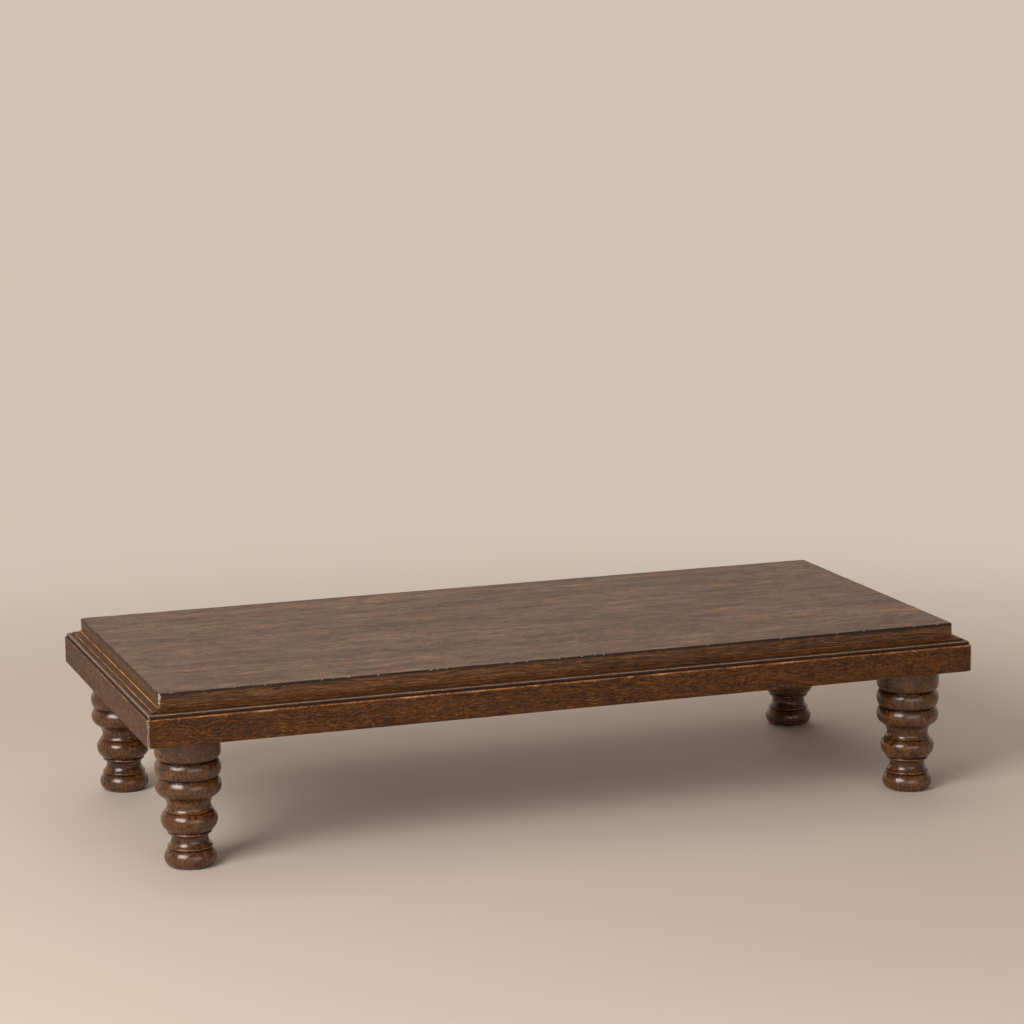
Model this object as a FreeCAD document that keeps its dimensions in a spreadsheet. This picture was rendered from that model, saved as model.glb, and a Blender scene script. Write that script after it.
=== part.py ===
import FreeCAD, Part
import math
import os
import Sketcher

from FreeCAD import Placement, Rotation, Vector

# Bajot low table: three edge-glued top boards on a mitred, moulded frame, with four turned legs.
# Each leg has a round tenon that is wedged in a corner block. Cross battens keep the boards flat.
# +X runs along the table, -Y is its front, +Z is up. The origin is on the floor, under the middle.
# All sizes are millimetres.

SIZES = {
    # Frame, measured over its outer faces
    "frame_length": 914.0,
    "frame_width": 425.0,
    "rail_height": 38.0,
    "rail_thickness": 28.0,
    "frame_corner_radius": 3.5,
    "rail_bottom_radius": 2.0,
    # Moulding on the upper outer edge of the rails
    "board_inset": 16.0,
    "listel_width": 1.0,
    "listel_drop": 1.1,
    "cove_width": 6.0,
    "cove_drop": 1.5,
    "upper_nose_radius": 1.0,
    "upper_nose_face": 0.5,
    "shelf_width": 4.2,
    "shelf_drop": 0.6,
    "lower_nose_radius": 1.7,
    "lower_nose_face": 1.9,
    "arris_radius": 1.4,
    # Top boards
    "board_thickness": 14.0,
    "board_corner_radius": 3.0,
    "board_edge_radius": 1.3,
    "tongue_thickness": 4.0,
    "tongue_width": 14.0,
    "tongue_end_gap": 60.0,
    # Leg, from the floor up: the radius of each member and how far it rises
    "foot_base_radius": 20.5,
    "foot_radius": 27.0,
    "foot_belly_rise": 9.0,
    "foot_shoulder_rise": 10.0,
    "foot_quirk_radius": 22.2,
    "collar_radius": 23.5,
    "collar_rise": 3.4,
    "lower_neck_radius": 19.0,
    "lower_scotia_rise": 7.4,
    "upper_scotia_rise": 4.6,
    "scotia_top_radius": 21.4,
    "fillet_radius": 23.0,
    "fillet_rise": 2.6,
    "bulb_quirk_radius": 22.3,
    "bulb_radius": 29.3,
    "bulb_lower_rise": 12.5,
    "bulb_upper_rise": 14.0,
    "bulb_score_depth": 0.6,
    "bulb_score_rise": 1.0,
    "upper_neck_radius": 22.5,
    "lower_bead_rise": 19.5,
    "bead_radius": 34.1,
    "bead_quirk_radius": 30.4,
    "lower_bead_shoulder_rise": 9.5,
    "upper_bead_rise": 10.0,
    "upper_bead_shoulder_rise": 9.0,
    "cap_radius": 34.1,
    "cap_round_rise": 7.0,
    "cap_band_rise": 18.5,
    # Where the legs stand, and their joint to the frame
    "leg_inset": 52.0,
    "tenon_radius": 15.0,
    "tenon_clearance": 0.1,
    "tenon_top_gap": 0.5,
    "wedge_thickness": 3.0,
    "wedge_depth": 24.0,
    "wedge_end_gap": 1.0,
    # Corner blocks
    "block_size": 72.0,
    "block_chamfer": 26.0,
    "block_edge_bevel": 1.5,
    "block_screw_offset": 40.0,
    "block_counterbore_depth": 14.0,
    # Loose splines across the mitres
    "spline_length": 18.0,
    "spline_width": 14.0,
    "spline_thickness": 4.0,
    # Cross battens under the boards
    "batten_width": 44.0,
    "batten_thickness": 20.0,
    "batten_spacing": 250.0,
    "batten_edge_bevel": 2.0,
    "batten_tenon_length": 12.0,
    "batten_tenon_width": 30.0,
    "batten_tenon_thickness": 9.0,
    "batten_counterbore_depth": 5.0,
    "joint_clearance": 0.1,
    # Round-head slotted wood screws
    "screw_radius": 2.1,
    "screw_clearance": 0.1,
    "screw_grip": 9.0,
    "screw_point_length": 3.0,
    "screw_head_radius": 4.2,
    "screw_head_height": 2.6,
    "screw_slot_width": 1.0,
    "screw_slot_depth": 1.1,
    "counterbore_radius": 5.0,
    "pilot_depth": 10.0,
    # How far a cut runs past the wood that it removes
    "overrun": 5.0,
}

# Where the curve of the bulb turns hollow, and the same for the lower bead, as shares of the way to the neck
BULB_TURN_SHARE = 0.58
LOWER_BEAD_TURN_SHARE = 0.48
# How far along its own radius a rounded corner is cut back on the mitre line
MITRE_SHARE = 1 - math.sqrt(0.5)
# A half length laid along a mitre line, as it is seen along the table
HALF_ALONG_MITRE_SHARE = math.sqrt(0.5) / 2

# Two places closer than this many millimetres are the same
NEAR = 1e-4

BOARD_NAMES = ["front", "middle", "back"]
TONGUE_NAMES = ["front", "back"]
BATTEN_NAMES = ["left", "centre", "right"]
# Anticlockwise from above
CORNER_NAMES = ["front_left", "front_right", "back_right", "back_left"]

doc = FreeCAD.newDocument("bajot_low_table")
sheet = doc.addObject("Spreadsheet::Sheet", "sizes")
parts = []


class Size:
    """A length with the sheet expression that gives it, so a formula is written once for both."""

    def __init__(self, value, text):
        self.value = value
        self.text = text

    def joined(self, sign, other, value):
        text = other.text if isinstance(other, Size) else repr(float(other))
        return Size(value, f"({self.text} {sign} {text})")

    def __add__(self, other):
        return self.joined("+", other, self.value + number(other))

    def __sub__(self, other):
        return self.joined("-", other, self.value - number(other))

    def __mul__(self, other):
        return self.joined("*", other, self.value * number(other))

    def __truediv__(self, other):
        return self.joined("/", other, self.value / number(other))

    def __neg__(self):
        return Size(-self.value, f"(-1 * {self.text})")


def corner_place(corner):
    """Which end and side of the table a corner is at, and how far it is turned from the front left one."""
    side_x = 1 if corner.endswith("right") else -1
    side_y = 1 if corner.startswith("back") else -1
    return side_x, side_y, 90 * CORNER_NAMES.index(corner)


def steps_from_middle(names):
    """Whole or half steps from the middle of a row of pieces, in the order of their names."""
    return [index - (len(names) - 1) / 2 for index in range(len(names))]


def number(value):
    """The plain number of a Size or of a number."""
    return value.value if isinstance(value, Size) else float(value)


def fill_sheet():
    """Writes every size to a cell with its name beside it, and returns the sizes by name."""
    found = {}
    for row, (name, value) in enumerate(SIZES.items(), start=1):
        sheet.set(f"A{row}", name)
        sheet.set(f"B{row}", str(value))
        sheet.setAlias(f"B{row}", name)
        found[name] = Size(value, f"sizes.{name}")
    doc.recompute()
    return found


S = fill_sheet()
ZERO = Size(0.0, "0")


def sum_of(*names):
    """The sum of several named sizes."""
    total = S[names[0]]
    for name in names[1:]:
        total = total + S[name]
    return total


# Sizes that the pieces share
half_length = S["frame_length"] / 2
half_width = S["frame_width"] / 2
leg_height = sum_of(
    "foot_belly_rise",
    "foot_shoulder_rise",
    "collar_rise",
    "lower_scotia_rise",
    "upper_scotia_rise",
    "fillet_rise",
    "bulb_lower_rise",
    "bulb_upper_rise",
    "bulb_score_rise",
    "lower_bead_rise",
    "lower_bead_shoulder_rise",
    "upper_bead_rise",
    "upper_bead_shoulder_rise",
    "cap_round_rise",
    "cap_band_rise",
)
board_bottom = leg_height + S["rail_height"]
board_length = S["frame_length"] - S["board_inset"] * 2
board_width = (S["frame_width"] - S["board_inset"] * 2) / len(BOARD_NAMES)
tenon_top = leg_height + S["rail_height"] - S["tenon_top_gap"]
batten_bottom = board_bottom - S["batten_thickness"]


def bind(thing, path, size):
    """Ties one property of an object to the sheet."""
    thing.setExpression(path, size.text)


def new_body(name):
    body = doc.addObject("PartDesign::Body", name)
    body.Label = name
    parts.append(body)
    return body


def place(body, x, y, z, turn=0):
    """Puts a finished body in the table, turned about +Z by a number of degrees."""
    body.Placement = Placement(Vector(number(x), number(y), number(z)), Rotation(Vector(0, 0, 1), turn))
    bind(body, "Placement.Base.x", x)
    bind(body, "Placement.Base.y", y)
    bind(body, "Placement.Base.z", z)


def new_sketch(body, name, plane, height=ZERO):
    """A sketch on one of the body's own origin planes, lifted off it by a height."""
    sketch = body.newObject("Sketcher::SketchObject", f"{body.Name}_{name}")
    support = [f for f in body.Origin.OriginFeatures if f.Role == plane][0]
    sketch.AttachmentSupport = [(support, "")]
    sketch.MapMode = "FlatFace"
    bind(sketch, "AttachmentOffset.Base.z", height)
    return sketch


def pin_point(sketch, geometry, end, x, y):
    """Holds one end or centre of a sketch line at x, y from the sketch's origin."""
    across = sketch.addConstraint(Sketcher.Constraint("DistanceX", -1, 1, geometry, end, number(x)))
    bind(sketch, f"Constraints[{across}]", x)
    up = sketch.addConstraint(Sketcher.Constraint("DistanceY", -1, 1, geometry, end, number(y)))
    bind(sketch, f"Constraints[{up}]", y)


def arc_between(start, end, radius, hollow_side):
    """The lesser arc from start to end. Its centre is on the left of the way if hollow_side is 1, else the right."""
    way = end - start
    rise = math.sqrt(max(radius * radius - way.Length * way.Length / 4, 0.0))
    left = Vector(-way.y, way.x, 0).normalize()
    centre = (start + end) / 2 + left * rise * hollow_side
    first, last = (start, end) if hollow_side > 0 else (end, start)
    angles = [math.atan2(p.y - centre.y, p.x - centre.x) for p in (first, last)]
    if angles[1] <= angles[0]:
        angles[1] += 2 * math.pi
    return Part.ArcOfCircle(Part.Circle(centre, Vector(0, 0, 1), radius), *angles)


def outline(sketch, points):
    """A closed outline. Each point is (x, y) or, where an arc leads to it, (x, y, radius, hollow_side)."""
    ends = []
    for i, point in enumerate(points):
        before = points[i - 1]
        start = Vector(number(before[0]), number(before[1]), 0)
        end = Vector(number(point[0]), number(point[1]), 0)
        if len(point) == 2:
            g = sketch.addGeometry(Part.LineSegment(start, end))
            ends.append((g, 1, 2))
        else:
            g = sketch.addGeometry(arc_between(start, end, number(point[2]), point[3]))
            ends.append((g, 1, 2) if point[3] > 0 else (g, 2, 1))
            size = sketch.addConstraint(Sketcher.Constraint("Radius", g, number(point[2])))
            bind(sketch, f"Constraints[{size}]", point[2])
    for i, point in enumerate(points):
        g, _, last = ends[i]
        after, first, _ = ends[(i + 1) % len(points)]
        sketch.addConstraint(Sketcher.Constraint("Coincident", g, last, after, first))
        pin_point(sketch, g, last, point[0], point[1])


def circle(sketch, x, y, radius):
    centre = Vector(number(x), number(y), 0)
    g = sketch.addGeometry(Part.Circle(centre, Vector(0, 0, 1), number(radius)))
    size = sketch.addConstraint(Sketcher.Constraint("Radius", g, number(radius)))
    bind(sketch, f"Constraints[{size}]", radius)
    pin_point(sketch, g, 3, x, y)


def rectangle(sketch, x0, y0, x1, y1):
    outline(sketch, [(x0, y0), (x1, y0), (x1, y1), (x0, y1)])


def pad(body, sketch, length, both_ways=False):
    feature = body.newObject("PartDesign::Pad", f"{sketch.Name}_pad")
    feature.Profile = sketch
    feature.SideType = "Symmetric" if both_ways else "One side"
    bind(feature, "Length", length)
    return feature


def cut(body, sketch, length=None, upwards=False):
    """Takes wood away: through the whole body both ways or, with a length, to that depth on one side."""
    doc.recompute()
    before = body.Shape.Volume
    feature = body.newObject("PartDesign::Pocket", f"{sketch.Name}_cut")
    feature.Profile = sketch
    if length is None:
        feature.Type = "ThroughAll"
        feature.SideType = "Symmetric"
    else:
        feature.Reversed = upwards
        bind(feature, "Length", length)
    doc.recompute()
    if body.Shape.Volume >= before:
        raise RuntimeError(f"{feature.Name} removed nothing")
    return feature


def revolve(body, sketch):
    """A full turn about the sketch's own upright axis."""
    feature = body.newObject("PartDesign::Revolution", f"{sketch.Name}_turned")
    feature.Profile = sketch
    feature.ReferenceAxis = (sketch, ["V_Axis"])
    feature.Angle = 360
    return feature


def ease_edges(body, kind, size, chosen):
    """Rounds or bevels the edges that a test picks out."""
    doc.recompute()
    before = body.Tip
    edges = [f"Edge{i}" for i, edge in enumerate(body.Shape.Edges, start=1) if chosen(edge)]
    feature = body.newObject(f"PartDesign::{kind}", f"{body.Name}_{kind.lower()}")
    feature.Base = (before, edges)
    bind(feature, {"Fillet": "Radius", "Chamfer": "Size"}[kind], size)


def tangent_radius(across, along):
    """The radius of an arc that runs straight along at one end and has moved across at the other."""
    return (across * across + along * along) / (across * 2)


# Turned legs


def leg_profile():
    """The half outline of a leg and its tenon, as points of radius and height."""
    points = [(ZERO, ZERO), (S["foot_base_radius"], ZERO)]
    height = ZERO

    def member(radius, rise, hollow_side, start_radius):
        """One turned curve up to a new radius, which runs upright at its wider or narrower end."""
        nonlocal height
        across = radius - start_radius
        if number(across) < 0:
            across = -across
        height = height + rise
        points.append((radius, height, tangent_radius(across, rise), hollow_side))

    def ogee(wide, narrow, rise, share, narrows):
        """Two arcs that meet without a corner, from one upright end to the other, scored where they meet if it narrows."""
        nonlocal height
        whole = tangent_radius(wide - narrow, rise)
        first_share = share if narrows else 1 - share
        start, end = (wide, narrow) if narrows else (narrow, wide)
        middle = start + (end - start) * first_share
        first_side, second_side = (1, -1) if narrows else (-1, 1)
        height = height + rise * first_share
        points.append((middle, height, whole * first_share, first_side))
        if narrows:
            points.append((middle - S["bulb_score_depth"], height + S["bulb_score_rise"] / 2))
            height = height + S["bulb_score_rise"]
            points.append((middle, height))
        height = height + rise * (1 - first_share)
        points.append((end, height, whole * (1 - first_share), second_side))

    member(S["foot_radius"], S["foot_belly_rise"], 1, S["foot_base_radius"])
    member(S["foot_quirk_radius"], S["foot_shoulder_rise"], 1, S["foot_radius"])
    half_collar = S["collar_rise"] / 2
    member(S["collar_radius"], half_collar, 1, S["foot_quirk_radius"])
    member(S["foot_quirk_radius"], half_collar, 1, S["collar_radius"])
    member(S["lower_neck_radius"], S["lower_scotia_rise"], -1, S["foot_quirk_radius"])
    member(S["scotia_top_radius"], S["upper_scotia_rise"], -1, S["lower_neck_radius"])
    half_fillet = S["fillet_rise"] / 2
    member(S["fillet_radius"], half_fillet, 1, S["scotia_top_radius"])
    member(S["bulb_quirk_radius"], half_fillet, 1, S["fillet_radius"])
    member(S["bulb_radius"], S["bulb_lower_rise"], 1, S["bulb_quirk_radius"])
    ogee(S["bulb_radius"], S["upper_neck_radius"], S["bulb_upper_rise"], BULB_TURN_SHARE, True)
    ogee(S["bead_radius"], S["upper_neck_radius"], S["lower_bead_rise"], LOWER_BEAD_TURN_SHARE, False)
    member(S["bead_quirk_radius"], S["lower_bead_shoulder_rise"], 1, S["bead_radius"])
    member(S["bead_radius"], S["upper_bead_rise"], 1, S["bead_quirk_radius"])
    member(S["bead_quirk_radius"], S["upper_bead_shoulder_rise"], 1, S["bead_radius"])
    member(S["cap_radius"], S["cap_round_rise"], 1, S["bead_quirk_radius"])
    points.append((S["cap_radius"], leg_height))
    points.append((S["tenon_radius"], leg_height))
    points.append((S["tenon_radius"], tenon_top))
    points.append((ZERO, tenon_top))
    return points


def wedge_outline(top):
    """The upright section of a wedge, or of the kerf that it is driven into."""
    half = S["wedge_thickness"] / 2
    return [(-half, top), (ZERO, top - S["wedge_depth"]), (half, top)]


def make_leg(corner):
    side_x, side_y, turn = corner_place(corner)
    body = new_body(f"leg_{corner}")
    sketch = new_sketch(body, "profile", "XZ_Plane")
    outline(sketch, leg_profile())
    revolve(body, sketch)
    kerf = new_sketch(body, "kerf", "XZ_Plane")
    outline(kerf, wedge_outline(tenon_top))
    cut(body, kerf)
    place(body, (half_length - S["leg_inset"]) * side_x, (half_width - S["leg_inset"]) * side_y, ZERO, turn)


def make_wedge(corner):
    side_x, side_y, turn = corner_place(corner)
    body = new_body(f"tenon_wedge_{corner}")
    sketch = new_sketch(body, "section", "XZ_Plane")
    outline(sketch, wedge_outline(ZERO))
    pad(body, sketch, (S["tenon_radius"] - S["wedge_end_gap"]) * 2, both_ways=True)
    place(body, (half_length - S["leg_inset"]) * side_x, (half_width - S["leg_inset"]) * side_y, tenon_top, turn)


# Mitred frame


def rail_section():
    """The rail's section: across from its outer face, and up from its bottom."""
    points = [(S["rail_thickness"], ZERO), (S["rail_thickness"], S["rail_height"])]
    across = S["board_inset"] - S["listel_width"]
    up = S["rail_height"]
    points.append((across, up))
    up = up - S["listel_drop"]
    points.append((across, up))
    across, up = across - S["cove_width"], up - S["cove_drop"]
    points.append((across, up, tangent_radius(S["cove_drop"], S["cove_width"]), -1))
    for nose in ("upper", "lower"):
        radius = S[f"{nose}_nose_radius"]
        across, up = across - radius, up - radius
        points.append((across, up, radius, 1))
        up = up - S[f"{nose}_nose_face"]
        points.append((across, up))
        if nose == "upper":
            across, up = across - S["shelf_width"], up - S["shelf_drop"]
            points.append((across, up))
    points.append((S["arris_radius"], up))
    points.append((ZERO, up - S["arris_radius"], S["arris_radius"], 1))
    points.append((ZERO, S["rail_bottom_radius"]))
    points.append((S["rail_bottom_radius"], ZERO, S["rail_bottom_radius"], 1))
    return points


def mitre_waste(half, side):
    """What the mitre at one end takes off, with the frame's rounded upright corner."""
    round_start = half - S["frame_corner_radius"]
    corner_x = half - S["frame_corner_radius"] * MITRE_SHARE
    corner_y = S["frame_corner_radius"] * MITRE_SHARE
    far_x = half + S["overrun"]
    far_y = S["rail_thickness"] + S["overrun"]
    inner_x = half - S["rail_thickness"] - S["overrun"]
    return [
        (round_start * side, -S["overrun"]),
        (round_start * side, ZERO),
        (corner_x * side, corner_y, S["frame_corner_radius"], side),
        (inner_x * side, far_y),
        (far_x * side, far_y),
        (far_x * side, -S["overrun"]),
    ]


def spline_outline(half, side):
    """A loose spline seen from above, lying square across the middle of the mitre line."""
    middle_x = half - S["rail_thickness"] / 2
    middle_y = S["rail_thickness"] / 2
    along = S["spline_width"] * HALF_ALONG_MITRE_SHARE
    across = S["spline_length"] * HALF_ALONG_MITRE_SHARE
    return [
        ((middle_x + along + across) * side, middle_y - along + across),
        ((middle_x - along + across) * side, middle_y + along + across),
        ((middle_x - along - across) * side, middle_y + along - across),
        ((middle_x + along - across) * side, middle_y - along - across),
    ]


spline_bottom = (S["rail_height"] - S["spline_thickness"]) / 2


def make_rail(name, length, x, y, turn, with_mortises):
    """One side of the frame, lying along its own X with its outer face at its own Y of 0."""
    body = new_body(name)
    half = length / 2
    section = new_sketch(body, "section", "YZ_Plane")
    outline(section, rail_section())
    pad(body, section, length, both_ways=True)
    for side, end in ((-1, "left"), (1, "right")):
        mitre = new_sketch(body, f"{end}_mitre", "XY_Plane")
        outline(mitre, mitre_waste(half, side))
        cut(body, mitre)
        slot = new_sketch(body, f"{end}_slot", "XY_Plane", spline_bottom)
        outline(slot, spline_outline(half, side))
        cut(body, slot, S["spline_thickness"], upwards=True)
    if with_mortises:
        bottom = S["rail_height"] - (S["batten_thickness"] + S["batten_tenon_thickness"]) / 2
        bottom = bottom - S["joint_clearance"]
        reach = S["batten_tenon_width"] / 2 + S["joint_clearance"]
        start = S["rail_thickness"] - S["batten_tenon_length"] - S["joint_clearance"]
        mortises = new_sketch(body, "mortises", "XY_Plane", bottom)
        for step in steps_from_middle(BATTEN_NAMES):
            middle = S["batten_spacing"] * step
            rectangle(mortises, middle - reach, start, middle + reach, S["rail_thickness"] + S["overrun"])
        cut(body, mortises, S["batten_tenon_thickness"] + S["joint_clearance"] * 2, upwards=True)
    place(body, x, y, leg_height, turn)


def make_spline(corner):
    side_x, side_y, turn = corner_place(corner)
    body = new_body(f"mitre_spline_{corner}")
    sketch = new_sketch(body, "outline", "XY_Plane")
    outline(sketch, spline_outline(ZERO, -1))
    pad(body, sketch, S["spline_thickness"])
    place(body, half_length * side_x, half_width * side_y, leg_height + spline_bottom, turn)


# Corner blocks


def block_screw_places():
    """The two screws of a block, from the frame's outer corner: on each side of the leg."""
    near = S["leg_inset"]
    far = S["leg_inset"] + S["block_screw_offset"]
    return [(far, near), (near, far)]


def make_block(corner):
    side_x, side_y, turn = corner_place(corner)
    body = new_body(f"corner_block_{corner}")
    near = S["rail_thickness"]
    far = S["rail_thickness"] + S["block_size"]
    short = far - S["block_chamfer"]
    sketch = new_sketch(body, "outline", "XY_Plane")
    outline(sketch, [(near, near), (far, near), (far, short), (short, far), (near, far)])
    circle(sketch, S["leg_inset"], S["leg_inset"], S["tenon_radius"] + S["tenon_clearance"])
    for x, y in block_screw_places():
        circle(sketch, x, y, S["screw_radius"] + S["screw_clearance"])
    pad(body, sketch, S["rail_height"])
    bores = new_sketch(body, "counterbores", "XY_Plane")
    for x, y in block_screw_places():
        circle(bores, x, y, S["counterbore_radius"])
    cut(body, bores, S["block_counterbore_depth"], upwards=True)
    rail_face = number(near)

    def lower_and_free(edge):
        box = edge.BoundBox
        straight = len(edge.Vertexes) == 2
        return straight and box.ZMax < NEAR and min(box.XMax, box.YMax) > rail_face + NEAR

    ease_edges(body, "Chamfer", S["block_edge_bevel"], lower_and_free)
    place(body, half_length * side_x, half_width * side_y, leg_height, turn)


# Cross battens


def batten_screw_places():
    """How far each batten screw lies from the table's middle: under the middle of each board."""
    return [board_width * step for step in steps_from_middle(BOARD_NAMES)]


def make_batten(name, step):
    body = new_body(f"cross_batten_{name}")
    half = half_width - S["rail_thickness"]
    across = S["batten_width"] / 2
    sketch = new_sketch(body, "outline", "XY_Plane")
    rectangle(sketch, -across, -half, across, half)
    for y in batten_screw_places():
        circle(sketch, ZERO, y, S["screw_radius"] + S["screw_clearance"])
    pad(body, sketch, S["batten_thickness"])
    tongue = S["batten_tenon_width"] / 2
    end = half + S["batten_tenon_length"]
    tenon_bottom = (S["batten_thickness"] - S["batten_tenon_thickness"]) / 2
    for side, where in ((-1, "front"), (1, "back")):
        tenon = new_sketch(body, f"{where}_tenon", "XY_Plane", tenon_bottom)
        rectangle(tenon, -tongue, half * side, tongue, end * side)
        pad(body, tenon, S["batten_tenon_thickness"])
    bores = new_sketch(body, "counterbores", "XY_Plane")
    for y in batten_screw_places():
        circle(bores, ZERO, y, S["counterbore_radius"])
    cut(body, bores, S["batten_counterbore_depth"], upwards=True)

    def lower_and_long(edge):
        box = edge.BoundBox
        return box.ZMax < NEAR and box.XLength < NEAR

    ease_edges(body, "Chamfer", S["batten_edge_bevel"], lower_and_long)
    place(body, S["batten_spacing"] * step, ZERO, batten_bottom)


# Top boards and the loose tongues between them


tongue_bottom = (S["board_thickness"] - S["tongue_thickness"]) / 2
tongue_half_length = board_length / 2 - S["tongue_end_gap"]


def board_outline(first, last):
    """A board from above, with rounded corners where it is the front or back one."""
    points = []
    r = S["board_corner_radius"]
    for side_x, side_y in ((-1, -1), (1, -1), (1, 1), (-1, 1)):
        x, y = board_length / 2 * side_x, board_width / 2 * side_y
        if not (first if side_y < 0 else last):
            points.append((x, y))
            continue
        on_long_edge, on_end = (x - r * side_x, y), (x, y - r * side_y)
        start, end = (on_end, on_long_edge) if side_x == side_y else (on_long_edge, on_end)
        points += [start, (*end, r, 1)]
    return points


def pilot_places(index):
    """The screw holes under one board, from the middle of that board."""
    places = [(S["batten_spacing"] * step, ZERO) for step in steps_from_middle(BATTEN_NAMES)]
    side = {0: -1, len(BOARD_NAMES) - 1: 1}.get(index)
    if side is not None:
        middle = board_width * steps_from_middle(BOARD_NAMES)[index]
        for along, across in block_screw_places():
            for end in (-1, 1):
                places.append(((half_length - along) * end, (half_width - across) * side - middle))
    return places


def round_top_edges(body, first, last):
    """Rounds the board's upper outer edges and leaves the glued ones sharp."""
    side, top = number(board_width) / 2, number(S["board_thickness"])
    glue_lines = ([] if first else [-side]) + ([] if last else [side])

    def outer(edge):
        box = edge.BoundBox
        glued = any(abs(box.YMin - y) < NEAR and abs(box.YMax - y) < NEAR for y in glue_lines)
        return box.ZMin > top - NEAR and not glued

    ease_edges(body, "Fillet", S["board_edge_radius"], outer)


def make_board(index):
    first, last = index == 0, index == len(BOARD_NAMES) - 1
    body = new_body(f"top_board_{BOARD_NAMES[index]}")
    sketch = new_sketch(body, "outline", "XY_Plane")
    outline(sketch, board_outline(first, last))
    pad(body, sketch, S["board_thickness"])
    edge = board_width / 2
    depth = S["tongue_width"] / 2 + S["joint_clearance"]
    reach = tongue_half_length + S["joint_clearance"]
    for side in ([] if first else [-1]) + ([] if last else [1]):
        name = "front_groove" if side < 0 else "back_groove"
        groove = new_sketch(body, name, "XY_Plane", tongue_bottom)
        rectangle(groove, -reach, (edge - depth) * side, reach, (edge + S["overrun"]) * side)
        cut(body, groove, S["tongue_thickness"], upwards=True)
    pilots = new_sketch(body, "pilots", "XY_Plane")
    for x, y in pilot_places(index):
        circle(pilots, x, y, S["screw_radius"] + S["screw_clearance"])
    cut(body, pilots, S["pilot_depth"], upwards=True)
    round_top_edges(body, first, last)
    place(body, ZERO, board_width * steps_from_middle(BOARD_NAMES)[index], board_bottom)


def make_tongue(index):
    """The loose tongue in the seam behind one board."""
    body = new_body(f"board_tongue_{TONGUE_NAMES[index]}")
    sketch = new_sketch(body, "outline", "XY_Plane")
    half = S["tongue_width"] / 2
    rectangle(sketch, -tongue_half_length, -half, tongue_half_length, half)
    pad(body, sketch, S["tongue_thickness"])
    seam = board_width * steps_from_middle(TONGUE_NAMES)[index]
    place(body, ZERO, seam, board_bottom + tongue_bottom)


# Screws


def screw_profile(shank):
    """Half of a round-head screw that points up, with the underside of its head at a height of 0."""
    head, reach = S["screw_head_radius"], shank - S["screw_point_length"]
    dome = tangent_radius(S["screw_head_height"], head)
    return [
        (ZERO, -S["screw_head_height"]),
        (head, ZERO, dome, 1),
        (S["screw_radius"], ZERO),
        (S["screw_radius"], reach),
        (ZERO, shank),
    ]


def turned_screw(name, shank, x, y, z):
    """One screw, as an object of its own that the group of a batten or a block takes in."""
    body = doc.addObject("PartDesign::Body", name)
    sketch = new_sketch(body, "profile", "XZ_Plane")
    outline(sketch, screw_profile(shank))
    revolve(body, sketch)
    slot = new_sketch(body, "slot", "XY_Plane", -S["screw_head_height"])
    half, reach = S["screw_slot_width"] / 2, S["screw_head_radius"] + S["overrun"]
    rectangle(slot, -reach, -half, reach, half)
    cut(body, slot, S["screw_slot_depth"], upwards=True)
    place(body, x, y, z)
    return body


def screw_group(name, screws):
    """Puts alike screws together as separate solids of one piece."""
    group = doc.addObject("Part::Compound", name)
    group.Label = name
    group.Links = screws
    parts.append(group)


def make_batten_screws(name, step):
    shank = S["batten_thickness"] - S["batten_counterbore_depth"] + S["screw_grip"]
    z = batten_bottom + S["batten_counterbore_depth"]
    screws = []
    for i, y in enumerate(batten_screw_places()):
        screws.append(turned_screw(f"batten_screw_{name}_{i}", shank, S["batten_spacing"] * step, y, z))
    screw_group(f"batten_screws_{name}", screws)


def make_block_screws(corner):
    side_x, side_y, _ = corner_place(corner)
    shank = S["rail_height"] - S["block_counterbore_depth"] + S["screw_grip"]
    z = leg_height + S["block_counterbore_depth"]
    screws = []
    for i, (along, across) in enumerate(block_screw_places()):
        x, y = (half_length - along) * side_x, (half_width - across) * side_y
        screws.append(turned_screw(f"block_screw_{corner}_{i}", shank, x, y, z))
    screw_group(f"block_screws_{corner}", screws)


def make_table():
    for corner in CORNER_NAMES:
        make_leg(corner)
        make_wedge(corner)
        make_block(corner)
        make_spline(corner)
        make_block_screws(corner)
    make_rail("front_rail", S["frame_length"], ZERO, -half_width, 0, True)
    make_rail("back_rail", S["frame_length"], ZERO, half_width, 180, True)
    make_rail("left_rail", S["frame_width"], -half_length, ZERO, 270, False)
    make_rail("right_rail", S["frame_width"], half_length, ZERO, 90, False)
    for name, step in zip(BATTEN_NAMES, steps_from_middle(BATTEN_NAMES)):
        make_batten(name, step)
        make_batten_screws(name, step)
    for index in range(len(BOARD_NAMES)):
        make_board(index)
    for index in range(len(TONGUE_NAMES)):
        make_tongue(index)


def check_and_export():
    """Stops on any failed feature or bad solid, and otherwise writes one STEP file for each piece."""
    doc.recompute()
    for thing in doc.Objects:
        if "Invalid" in thing.State or "Error" in thing.State:
            raise RuntimeError(f"{thing.Name} failed: {thing.State}")
    for part in parts:
        shape = part.Shape
        if shape.isNull() or not shape.isValid() or not shape.Solids:
            raise RuntimeError(f"{part.Label} has no valid solid")
    os.makedirs("parts", exist_ok=True)
    for part in parts:
        part.Shape.exportStep(os.path.join("parts", f"{part.Label}.step"))


make_table()
check_and_export()
print(f"{len(parts)} pieces, {number(board_bottom + S['board_thickness']):.1f} mm tall")
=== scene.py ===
import math

import bmesh
import bpy
import numpy as np
from mathutils import Matrix, Vector, noise


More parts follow.
